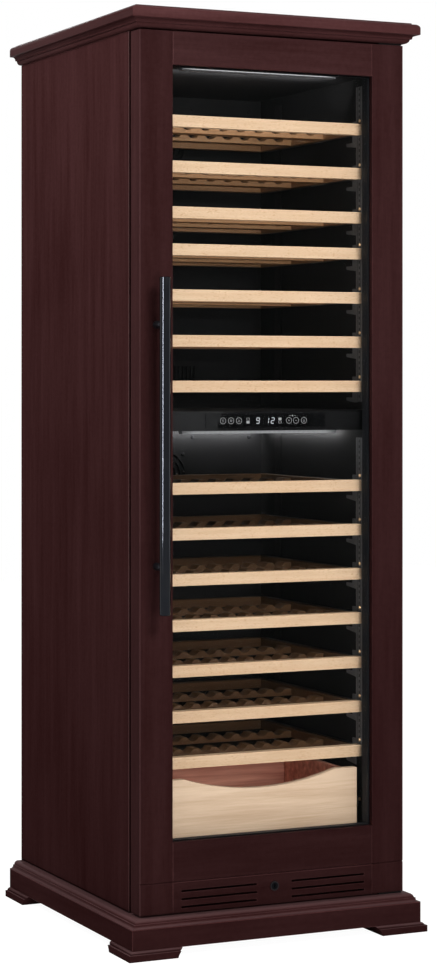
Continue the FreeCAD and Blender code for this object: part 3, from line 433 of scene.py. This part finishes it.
def pan_head(bm, centre, facing, radius, high):
    # A domed screw head on a wall, with a cross recess pressed in.
    sides = 24
    rings = [(1.0, 0.0), (0.98, 0.35), (0.86, 0.72), (0.62, 0.93), (0.30, 1.0)]
    stand = Vector((0, 0, 1)).rotation_difference(Vector(facing))
    loops = []
    for share, rise in rings:
        loop = []
        for step in range(sides):
            turn = step * math.tau / sides
            dent = 0.55 if share < 0.7 and step % 6 == 0 else 0.0
            out = radius * share
            at = Vector((out * math.cos(turn), out * math.sin(turn), high * (rise - dent)))
            loop.append(bm.verts.new(Vector(centre) + stand @ at))
        loops.append(loop)
    for inner, outer in zip(loops[1:], loops):
        for step in range(sides):
            after = (step + 1) % sides
            bm.faces.new((outer[step], outer[after], inner[after], inner[step]))
    bm.faces.new(loops[-1])


duct_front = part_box("duct_covers")[0].y
zones = ((0.36, 1.107), (1.151, 1.892))
columns = (-0.225, -0.075, 0.075, 0.225)
grille_drop = 0.115
grille_reach = 0.07
head_radius = 0.0045
head_rise = 0.0022
heads = bmesh.new()
for low, high in zones:
    spots = [(across, level) for across in columns for level in (low + 0.022, high - 0.026)]
    for turn in range(4):
        angle = math.radians(45 + 90 * turn)
        level = high - grille_drop + grille_reach * math.sin(angle)
        spots.append((grille_reach * math.cos(angle), level))
    for across, level in spots:
        pan_head(heads, (across, duct_front, level), (0, -1, 0), head_radius, head_rise)
blacked, shade = finish("blacked_screws")
rub = shade.noise(shade.place(), 3.0, 0.6, 500.0)
surface(shade, {
    "Base Color": rub.ramp(0.5, 0.8).tint(rgb(0.008, 0.008, 0.009), rgb(0.020, 0.020, 0.020)),
    "Metallic": 0.3,
    "Roughness": 0.44 + rub * 0.2,
    "Specular IOR Level": 0.1,
}, rub, 0.0001, 0.3)
duct_screws = link("duct_screws", to_mesh("duct_screws", heads), blacked)
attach(duct_screws, "cabinet")

# Uprights: coated steel strips on both walls, punched with a ladder of slots and ribbed for stiffness.
# The front ones are grey and carry a stepped hook under every runner, the rear ones are black.
# Brass screws above the runners hold the front ones.
slot_pitch = 0.0125
slot_y = -0.2345
groove_out = 0.007
upright_grey, shade = finish("upright_grey_coat")
y = shade.axis("y")
peel = shade.noise(shade.place(), 2.0, 0.5, 800.0)
wear = shade.noise(shade.place(), 4.0, 0.6, 30.0)
# The pressed grooves are painted dark, as the shade that falls in them.
groove_shade = abs(abs(y - slot_y) - groove_out).ramp(0.0016, 0.0006)
slot = (shade.axis("z").repeat(slot_pitch) < 0.0032) * (abs(y - slot_y) < 0.0022)
dark = (groove_shade * 0.75).most(slot)
base = wear.ramp(0.4, 0.75).tint(rgb(0.140, 0.142, 0.145), rgb(0.200, 0.202, 0.206))
base = (y > 0.0).tint(base, rgb(0.007, 0.007, 0.0075))
surface(shade, {
    "Base Color": dark.tint(base, rgb(0.020, 0.020, 0.022)),
    "Roughness": 0.46 + wear * 0.14,
    "Specular IOR Level": 0.12,
}, peel * 0.1 - dark, 0.0008, 0.5)
dress("rail_uprights", upright_grey, 0.0003)

shelf_names = sorted(name for name in nodes if name.startswith("shelf_"))
shelf_levels = [(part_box(name)[0].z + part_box(name)[1].z) / 2 for name in shelf_names]
drawer_level = 0.260
screw_x = 0.2560
screw_y = -0.2365
screw_up = 0.021
screws = bmesh.new()
for level in [drawer_level] + shelf_levels:
    for side in (-1, 1):
        at = (side * screw_x, screw_y, level + screw_up)
        pan_head(screws, at, (-side, 0, 0), 0.0040, 0.0020)
brass, shade = finish("brass_screws")
tarnish = shade.noise(shade.place(), 3.0, 0.6, 700.0)
surface(shade, {
    "Base Color": tarnish.ramp(0.35, 0.7).tint(rgb(0.52, 0.33, 0.16), rgb(0.72, 0.50, 0.28)),
    "Metallic": 0.9,
    "Roughness": 0.3 + tarnish * 0.2,
}, tarnish, 0.0001, 0.3)
upright_screws = link("upright_screws", to_mesh("upright_screws", screws), brass)
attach(upright_screws, "cabinet")

# Fixed runners: channel-formed steel rails, one on each side of every shelf and of the drawer.
# A short cage of hardened balls in each shelf's channel carries the sliding member.
rail_steel, shade = finish("runner_steel")
drawn = shade.noise(grain(shade, "y", 900.0, 6.0), 4.0, 0.6)
grease = shade.noise(shade.place(), 3.0, 0.6, 18.0).ramp(0.35, 0.75)
surface(shade, {
    "Base Color": grease.tint(rgb(0.030, 0.031, 0.033), rgb(0.085, 0.087, 0.09)),
    "Metallic": 0.85,
    "Roughness": 0.30 + drawn * 0.2,
}, drawn, 0.0002, 0.3)
dress("fixed_runners", rail_steel, 0.0006)

ball_d = 0.0034
ball_x = 0.2533
ball_drop = 0.0104
first_ball_y = -0.080
ball_pitch = 0.013
balls = bmesh.new()
for level in shelf_levels:
    for side in (-1, 1):
        for step in range(6):
            at = (side * ball_x, first_ball_y + step * ball_pitch, level - ball_drop)
            bmesh.ops.create_icosphere(
                balls, subdivisions=2, radius=ball_d / 2, matrix=Matrix.Translation(at))
bright, shade = finish("hardened_balls")
film = shade.noise(shade.place(), 2.0, 0.5, 600.0)
surface(shade, {
    "Base Color": film.ramp(0.3, 0.7).tint(rgb(0.70, 0.69, 0.66), rgb(0.86, 0.85, 0.83)),
    "Metallic": 1.0,
    "Roughness": 0.14 + film * 0.12,
})
runner_balls = link("runner_balls", to_mesh("runner_balls", balls), bright)
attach(runner_balls, "cabinet")

# Shelves: a sanded and sealed beech fascia, with bearers, a rear rail and two wave-cut boards behind it
# that are left raw. The boards are painted darker as shade, most of all in the lower zone. The steel
# inner member of the runner is screwed along each side.
fascia_back = -0.2319
bearer_inside = 0.2312
steel_inside = 0.2451
upper_zone_foot = 1.15
member_steel = rgb(0.36, 0.365, 0.37)


def beech(name, lift=1.0):
    wood, shade = finish(name)
    x, y, z = shade.axes()
    front = y < fascia_back
    lengthways = (abs(x) > bearer_inside) * (1 - front)
    run = lengthways.blend(grain(shade, "x", 90.0, 4.0), grain(shade, "y", 90.0, 4.0))
    fine = lengthways.blend(grain(shade, "x", 460.0, 170.0), grain(shade, "y", 460.0, 170.0))
    band = shade.noise(run, 4.0, 0.55)
    fleck = shade.noise(fine, 1.0, 0.5).ramp(0.60, 0.68)
    board = shade.noise(shade.place(), 1.0, 0.5, 2.4)
    tone = (band * 0.6 + board * 0.4).ramp(0.34, 0.68)
    sealed = tone.tint(rgb(0.588, 0.390, 0.236, lift), rgb(0.706, 0.516, 0.340, lift))
    sealed = (fleck * 0.6).tint(sealed, rgb(0.47, 0.265, 0.135))
    # Painted shade on the boards behind the fascia, deepest in the lower zone.
    raw_with_painted_shade = (z > upper_zone_foot).tint(
        tone.tint(rgb(0.100, 0.048, 0.020), rgb(0.155, 0.083, 0.038)),
        tone.tint(rgb(0.240, 0.118, 0.050), rgb(0.365, 0.200, 0.093)))
    raw_with_painted_shade = (fleck * 0.5).tint(raw_with_painted_shade, rgb(0.105, 0.050, 0.021))
    member = (abs(x) > steel_inside) * (y > fascia_back)
    drawn = shade.noise(grain(shade, "y", 900.0, 6.0), 4.0, 0.6)
    surface(shade, {
        "Base Color": member.tint(front.tint(raw_with_painted_shade, sealed), member_steel),
        "Metallic": member * 0.95,
        "Roughness": 0.5 + band * 0.1 - member * (0.3 - drawn * 0.16),
        "Specular IOR Level": 0.3,
    }, band * 0.5 - fleck * 0.5, 0.0002, 0.3)
    return wood


# The lighter edge copy is a painted highlight along the fascia's eased arrises.
shelf_beech = beech("shelf_beech_and_steel")
shelf_edge_highlight = beech("shelf_beech_edge", 1.3)
for name in shelf_names:
    dress(name, shelf_beech, 0.0012, shelf_edge_highlight)

# Bottle drawer: a pale maple front with a long hand scoop, dovetailed to red cedar boards inside.
# It runs on steel members under the sides.
front_back = -0.2381
drawer_steel_inside = 0.2381
drawer_wood, shade = finish("drawer_maple_and_cedar")
front = shade.axis("y") < front_back
member = abs(shade.axis("x")) > drawer_steel_inside
swirl = shade.noise(grain(shade, "x", 46.0, 3.4), 4.0, 0.6)
lines = shade.noise(grain(shade, "x", 210.0, 5.0), 3.0, 0.6).ramp(0.55, 0.72)
fibre = shade.noise(grain(shade, "x", 900.0, 12.0), 2.0, 0.55)
tone = (swirl * 0.7 + fibre * 0.3).ramp(0.3, 0.7)
maple = tone.tint(rgb(0.580, 0.395, 0.258), rgb(0.780, 0.590, 0.420))
maple = (lines * 0.42).tint(maple, rgb(0.52, 0.335, 0.190))
heart = shade.noise(grain(shade, "x", 60.0, 3.0), 4.0, 0.6).ramp(0.32, 0.68)
cedar = heart.tint(rgb(0.560, 0.215, 0.150), rgb(0.990, 0.520, 0.370))
surface(shade, {
    "Base Color": member.tint(front.tint(cedar, maple), member_steel),
    "Metallic": member * 0.95,
    "Roughness": 0.48 + fibre * 0.1 - member * 0.2,
    "Specular IOR Level": 0.3,
}, swirl * 0.4 + fibre * 0.3, 0.0002, 0.3)
dress("bottle_drawer", drawer_wood, 0.0010)

# Control panel: a moulded black bar across the zone divider, with a smoked touch window.
# The left of the bar is a satin field without markings; the window's left end is cut at a slant.
panel_foot = 1.107
panel_slant = 0.35
satin_black = rgb(0.0150, 0.0152, 0.0158)


def along_panel(shade):
    # Distance along the bar, measured on the slant of the window's left end.
    return shade.axis("x") - (shade.axis("z") - panel_foot) * panel_slant


panel_plastic, shade = finish("panel_satin_plastic")
satin = shade.noise(shade.place(), 2.0, 0.5, 900.0)
left = along_panel(shade).ramp(-0.098, -0.112)
surface(shade, {
    "Base Color": left.tint(rgb(0.0040, 0.0040, 0.0044), satin_black),
    "Roughness": 0.42 + satin * 0.1,
    "Specular IOR Level": 0.05,
}, satin, 0.0001, 0.2)
dress("control_panel", panel_plastic, 0.0008)

smoked, shade = finish("smoked_window")
film = shade.noise(shade.place(), 2.0, 0.5, 40.0)
left = along_panel(shade).ramp(-0.1104, -0.1112)
surface(shade, {
    "Base Color": left.tint(rgb(0.0020, 0.0020, 0.0024), satin_black),
    "Roughness": 0.2 + film * 0.06 + left * 0.22,
    "Specular IOR Level": 0.01,
})
dress("display_window", smoked, 0.0004)

# Touch marks and read-outs: plain printed signs and seven-segment numbers, lit from behind.
# Each zone has a small two-box sign beside its temperature.
mark_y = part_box("display_window")[0].y - 0.0001
mark_z = (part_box("display_window")[0].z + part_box("display_window")[1].z) / 2
thin = 0.0005
marks = bmesh.new()


def flat_bar(x, z, wide, high, lean=0.0, turn=0.0):
    corners = []
    for u, v in ((-1, -1), (1, -1), (1, 1), (-1, 1)):
        dx, dz = u * wide / 2, v * high / 2
        dx, dz = dx * math.cos(turn) - dz * math.sin(turn), dx * math.sin(turn) + dz * math.cos(turn)
        corners.append(marks.verts.new((x + dx + lean * dz, mark_y, mark_z + z + dz)))
    marks.faces.new(corners)


def flat_ring(x, z, radius, stroke):
    edge = []
    for step in range(33):
        turn = math.tau * step / 32
        spoke = (math.cos(turn), math.sin(turn))
        edge.append([marks.verts.new((x + r * spoke[0], mark_y, mark_z + z + r * spoke[1]))
                     for r in (radius - stroke / 2, radius + stroke / 2)])
    for (a, b), (c, d) in zip(edge, edge[1:]):
        marks.faces.new((a, b, d, c))


def flat_triangle(x):
    for turn, dx, dz in ((1.05, -0.0014, -0.0002), (-1.05, 0.0014, -0.0002), (0.0, 0.0, -0.0026)):
        flat_bar(x + dx, dz, 0.0048, thin, turn=turn)


def two_boxes(x, full):
    wide = 0.0072
    for part in (-1, 1):
        middle = part * 0.0034
        if part == full:
            flat_bar(x, middle, wide, 0.0052)
            continue
        for dz in (-0.0023, 0.0023):
            flat_bar(x, middle + dz, wide, 0.0006)
        for dx in (-0.0033, 0.0033):
            flat_bar(x + dx, middle, 0.0006, 0.004)


def number(x, digit):
    # The seven bars of one figure: top, upper left, upper right, middle, lower left, lower right, foot.
    lit = {"1": "25", "2": "02346", "9": "012356"}[digit]
    bars = [(0, 6, 6, 1.3), (-3.4, 3.1, 1.3, 5), (3.4, 3.1, 1.3, 5), (0, 0, 6, 1.3),
            (-3.4, -3.1, 1.3, 5), (3.4, -3.1, 1.3, 5), (0, -6, 6, 1.3)]
    for index in lit:
        dx, dz, wide, high = bars[int(index)]
        flat_bar(x + dx * 0.001 + dz * 0.0001, dz * 0.001, wide * 0.001, high * 0.001, 0.1)


keys = (-0.0942, -0.0749, -0.0557, 0.0662, 0.0834, 0.1031)
menu, light, lock, plus, minus, alarm = keys
for at in keys:
    flat_ring(at, 0.0, 0.0066, 0.0008)
for line in (-0.002, 0.0, 0.002):
    flat_bar(menu, line, 0.0044, thin)
flat_bar(light, 0.0, 0.0050, thin, turn=-0.8)
flat_ring(light, 0.0, 0.0022, thin)
flat_triangle(lock)
two_boxes(-0.0339, -1)
two_boxes(0.0440, 1)
number(-0.0097, "9")
number(0.0130, "1")
number(0.0262, "2")
flat_bar(plus, 0.0, 0.0040, 0.0007)
flat_bar(plus, 0.0, 0.0007, 0.0040)
flat_bar(minus, 0.0, 0.0040, 0.0007)
flat_triangle(alarm)
flat_ring(0.0748, 0.0105, 0.0009, 0.0016)
for dx in (-0.0058, 0.0058):
    flat_bar(0.0748 + dx, 0.0105, 0.005, thin)
bmesh.ops.recalc_face_normals(marks, faces=marks.faces)
for face in marks.faces:
    if face.normal.y > 0:
        face.normal_flip()
lit_marks, shade = finish("lit_marks")
bleed = shade.noise(shade.place(), 2.0, 0.5, 300.0)
figures = abs(shade.axis("x") - 0.009) < 0.03
surface(shade, {
    "Base Color": rgb(0.05, 0.05, 0.052),
    "Roughness": 0.4 + bleed * 0.2,
    "Emission Color": figures.tint(rgb(0.34, 0.345, 0.355), rgb(0.72, 0.75, 0.80)),
    "Emission Strength": 1.0,
})
touch_marks = link("touch_marks", to_mesh("touch_marks", marks, smooth=False), lit_marks)
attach(touch_marks, "cabinet")

# Light bars: opal diffusers over rows of white diodes, one under the ceiling and one under the panel.
# The diodes show as faint brighter spots along each bar.
diode_pitch = 0.012
upper_face = 1.8885
between_bars = 1.5
opal, shade = finish("opal_light_bar")
x = shade.axis("x")
z = shade.axis("z")
spots = x.repeat(diode_pitch).ramp(0.006, 0.0)
ends = abs(x).ramp(0.188, 0.160)
lit_face = (z > upper_face).most(z < between_bars)
full = (z > between_bars).tint(rgb(0.225, 0.23, 0.235), rgb(0.54, 0.55, 0.56))
glow = ends * lit_face * (0.8 + spots * 0.2)
surface(shade, {
    "Base Color": rgb(0.10, 0.10, 0.105),
    "Roughness": 0.38 + spots * 0.1,
    "Specular IOR Level": 0.1,
    "Emission Color": glow.tint(rgb(0.012, 0.012, 0.013), full),
    "Emission Strength": 1.0,
})
dress("light_bars", opal, 0.0010)

# Door frame: two mahogany stiles, a top rail and a deeper bottom rail, with a slotted vent panel
# below. The joints and the panel's groove are eased, and a lighter copy of the stain on them is a
# painted highlight that shows them as fine lines.
# The rails and stiles are lighter and darker copies of one stain, painted for the light each catches:
# the top rail lightest, the bottom rail and vent panel darkest.
stile_mahogany = mahogany("mahogany_stile", "z", 0.0, 0.82, painted_edge_highlight=True)
top_rail_mahogany = mahogany("mahogany_top_rail", "x", 0.012, 0.95)
level_mahogany = mahogany("mahogany_level", "x", 0.003, 0.78)
level_edge_highlight = mahogany("mahogany_level_edge", "x", 0.05, 1.7)
dress("door_left_stile", stile_mahogany, 0.0008, upright_edge_highlight)
dress("door_right_stile", stile_mahogany, 0.0008, upright_edge_highlight)
dress("door_top_rail", top_rail_mahogany, 0.0007, level_edge_highlight)
dress("door_bottom_rail", level_mahogany, 0.0007, level_edge_highlight)
dress("door_vent_panel", level_mahogany, 0.0005, level_edge_highlight)

# Glass unit: two toughened panes on a black spacer bar, with a low-reflection coating.
# A black frame holds the unit in the rebate, and a bellows gasket seals the door.
glass, shade = finish("coated_glass")
smear = shade.noise(shade.place(), 3.0, 0.6, 5.0).ramp(0.4, 0.8)
surface(shade, {
    "Base Color": smear.tint(rgb(0.016, 0.020, 0.019), rgb(0.030, 0.034, 0.033)),
    "Roughness": 0.04 + smear * 0.03,
    "IOR": 1.45,
    "Alpha": 0.010,
})
dress("glass_panes", glass)

hole_pitch = 0.006
spacer_y = -0.298
spacer_black, shade = finish("spacer_bar")
holes = (shade.axis("z").repeat(hole_pitch) < 0.0006) * (abs(shade.axis("y") - spacer_y) < 0.0008)
drawn = shade.noise(grain(shade, "z", 800.0, 10.0), 3.0, 0.6)
surface(shade, {
    "Base Color": holes.tint(rgb(0.009, 0.0098, 0.0118), rgb(0.004, 0.004, 0.004)),
    "Specular IOR Level": 0.06,
    "Roughness": 0.42 + drawn * 0.15,
}, drawn * 0.2 - holes, 0.0004, 0.4)
dress("glass_spacer", spacer_black, 0.0003)
dress("glazing_frame", flange_slate, 0.0008)

fold_pitch = 0.004
bellows, shade = finish("gasket_rubber")
folds = shade.axis("y").repeat(fold_pitch) * 500.0
bloom = shade.noise(shade.place(), 3.0, 0.6, 60.0)
surface(shade, {
    "Base Color": bloom.ramp(0.35, 0.75).tint(rgb(0.013, 0.013, 0.014), rgb(0.030, 0.030, 0.032)),
    "Roughness": 0.62 + bloom * 0.14,
}, folds * 0.8 + bloom * 0.1, 0.0012, 0.6)
dress("door_gasket", bellows, 0.0015)

# Handle: a drawn steel bar in polished black chrome, turned flat at the ends.
# Two shorter posts screw through the stile into tapped holes in the bar.


def black_chrome(name, rough, lift=1.0):
    plate, shade = finish(name)
    prints = shade.noise(shade.place(), 4.0, 0.6, 22.0).ramp(0.5, 0.8)
    dark = rgb(0.0150, 0.0160, 0.0190, lift)
    handled = rgb(0.0205, 0.0215, 0.0240, lift)
    surface(shade, {
        "Base Color": prints.tint(dark, handled),
        "Metallic": 1.0,
        "Roughness": rough + prints * 0.06,
    })
    return plate


dress("handle_bar", black_chrome("handle_black_chrome", 0.10), 0.0006)
nodes["handle_bar"].modifiers["eased"].harden_normals = True
# The posts take a lighter copy of the chrome, a painted reflection that keeps them grey.
dress("handle_posts", black_chrome("post_black_chrome", 0.3, 3.5), 0.0005)

# Lock: a steel cylinder with a key slot, chromed dark; its cam hooks behind a blacked strike.
# The hinges are black-passivated steel plates with pins, in nylon bushes.
lock_level = 0.124
lock_dark, shade = finish("lock_dark_chrome")
reach = shade.axis("x").reach(shade.axis("z") - lock_level)
turned = shade.noise(shade.place(), 2.0, 0.5, 700.0)
rim = reach.ramp(0.0078, 0.0086)
ring_groove = abs(reach - 0.0074) < 0.0004
surface(shade, {
    "Base Color": rim.tint(rgb(0.005, 0.005, 0.006), rgb(0.022, 0.019, 0.020)),
    "Metallic": 1.0,
    "Roughness": 0.26 + turned * 0.12,
}, turned * 0.2 - ring_groove, 0.0004, 0.5)
dress("lock_cylinder", lock_dark, 0.0005)

blacked_zinc, shade = finish("black_passivated_zinc")
bloom = shade.noise(shade.place(), 4.0, 0.65, 45.0)
spangle = shade.cells("F1", 160.0)
surface(shade, {
    "Base Color": bloom.ramp(0.3, 0.75).tint(rgb(0.005, 0.005, 0.006), rgb(0.011, 0.011, 0.011)),
    "Metallic": 0.3,
    "Specular IOR Level": 0.08,
    "Roughness": 0.32 + bloom * 0.14 + spangle * 0.05,
}, bloom, 0.0002, 0.3)
dress("lock_strike", blacked_zinc, 0.0004)
dress("hinge_brackets", blacked_zinc, 0.0005)
dress("hinge_bushes", nylon, 0.0002)

# Studio: a plain pale floor under a white surround. Soft lamps stand in front, left and behind,
# two strips only show as lines of light in the handle, and small glows stand in for the light bars.


def looked_at(shade):
    # One where the floor or the surround is seen straight, in a reflection or through glass.
    rays = ("Is Camera Ray", "Is Glossy Ray", "Is Transmission Ray")
    straight, mirrored, through = (shade.node("ShaderNodeLightPath", out=ray) for ray in rays)
    return straight.most(mirrored.most(through))


floor_mesh = bpy.data.meshes.new("studio_floor")
floor_mesh.from_pydata([(-9, -9, 0), (9, -9, 0), (9, 9, 0), (-9, 9, 0)], [], [(0, 1, 2, 3)])
floor_white, shade = finish("studio_floor_white")
matte = shade.node("ShaderNodeBsdfDiffuse", {}, {"Color": rgb(0.86, 0.86, 0.86)})
white = shade.node("ShaderNodeEmission", {}, {"Color": rgb(1, 1, 1), "Strength": 1.14})
both = shade.node("ShaderNodeMixShader", {}, {0: looked_at(shade) * 0.85, 1: matte, 2: white})
shade.node("ShaderNodeOutputMaterial", {}, {"Surface": both})
link("studio_floor", floor_mesh, floor_white)

world = bpy.data.worlds.new("studio_surround")
bpy.context.scene.world = world
world.use_nodes = True
world.node_tree.nodes.clear()
shade = Shade(world.node_tree)
lit = shade.node("ShaderNodeBackground", {}, {"Color": rgb(1, 1, 1), "Strength": 0.38})
white = shade.node("ShaderNodeBackground", {}, {"Color": rgb(1, 1, 1), "Strength": 1.0})
both = shade.node("ShaderNodeMixShader", {}, {0: looked_at(shade), 1: lit, 2: white})
shade.node("ShaderNodeOutputWorld", {}, {"Surface": both})


def lamp(name, at, aim, wide, high, watts, mirrored=True, cast=True):
    light = bpy.data.lights.new(name, "AREA")
    light.shape = "RECTANGLE"
    light.size = wide
    light.size_y = high
    light.energy = watts
    holder = bpy.data.objects.new(name, light)
    holder.location = at
    holder.rotation_euler = (Vector(aim) - Vector(at)).to_track_quat("-Z", "Y").to_euler()
    holder.visible_glossy = mirrored
    holder.visible_diffuse = cast
    bpy.context.scene.collection.objects.link(holder)


lamp("front_lamp", (0.2, -3.2, 3.2), (0.0, -0.3, 1.3), 0.9, 0.9, 82)
lamp("low_front_lamp", (-0.6, -4.6, 0.8), (0.0, -0.3, 1.0), 1.2, 1.2, 50, mirrored=False)
lamp("left_lamp", (-2.0, -0.2, 2.9), (-0.3, 0.0, 1.4), 1.0, 1.0, 58)
lamp("back_lamp", (1.2, 3.8, 3.0), (0.0, 0.3, 1.0), 1.6, 1.6, 60)
lamp("left_strip", (-3.8, -1.45, 1.7), (-0.28, -0.37, 1.7), 0.20, 3.4, 402, cast=False)
lamp("right_strip", (3.4, -1.5, 1.1), (-0.28, -0.37, 1.1), 0.5, 2.2, 16, cast=False)
lamp("upper_bar_glow", (0.0, -0.205, 1.862), (0.0, -0.150, 1.892), 0.38, 0.01, 0.68)
lamp("lower_bar_glow_back", (0.04, 0.246, 1.099), (0.04, 0.264, 1.088), 0.40, 0.006, 0.65)
lamp("lower_bar_glow_right", (0.242, 0.04, 1.099), (0.258, 0.04, 1.089), 0.36, 0.006, 0.24)

view = bpy.data.cameras.new("photo_view")
view.lens = 91.60
view.sensor_width = 36.0
view.shift_x = 0.0347
view.shift_y = -0.1037
view.clip_end = 60.0
eye = bpy.data.objects.new("photo_view", view)
eye.location = (-2.38833, -5.06658, 1.21232)
eye.rotation_euler = (math.radians(90), 0, math.radians(-24.63))
bpy.context.scene.collection.objects.link(eye)
bpy.context.scene.camera = eye
bpy.context.scene.view_settings.view_transform = "Standard"
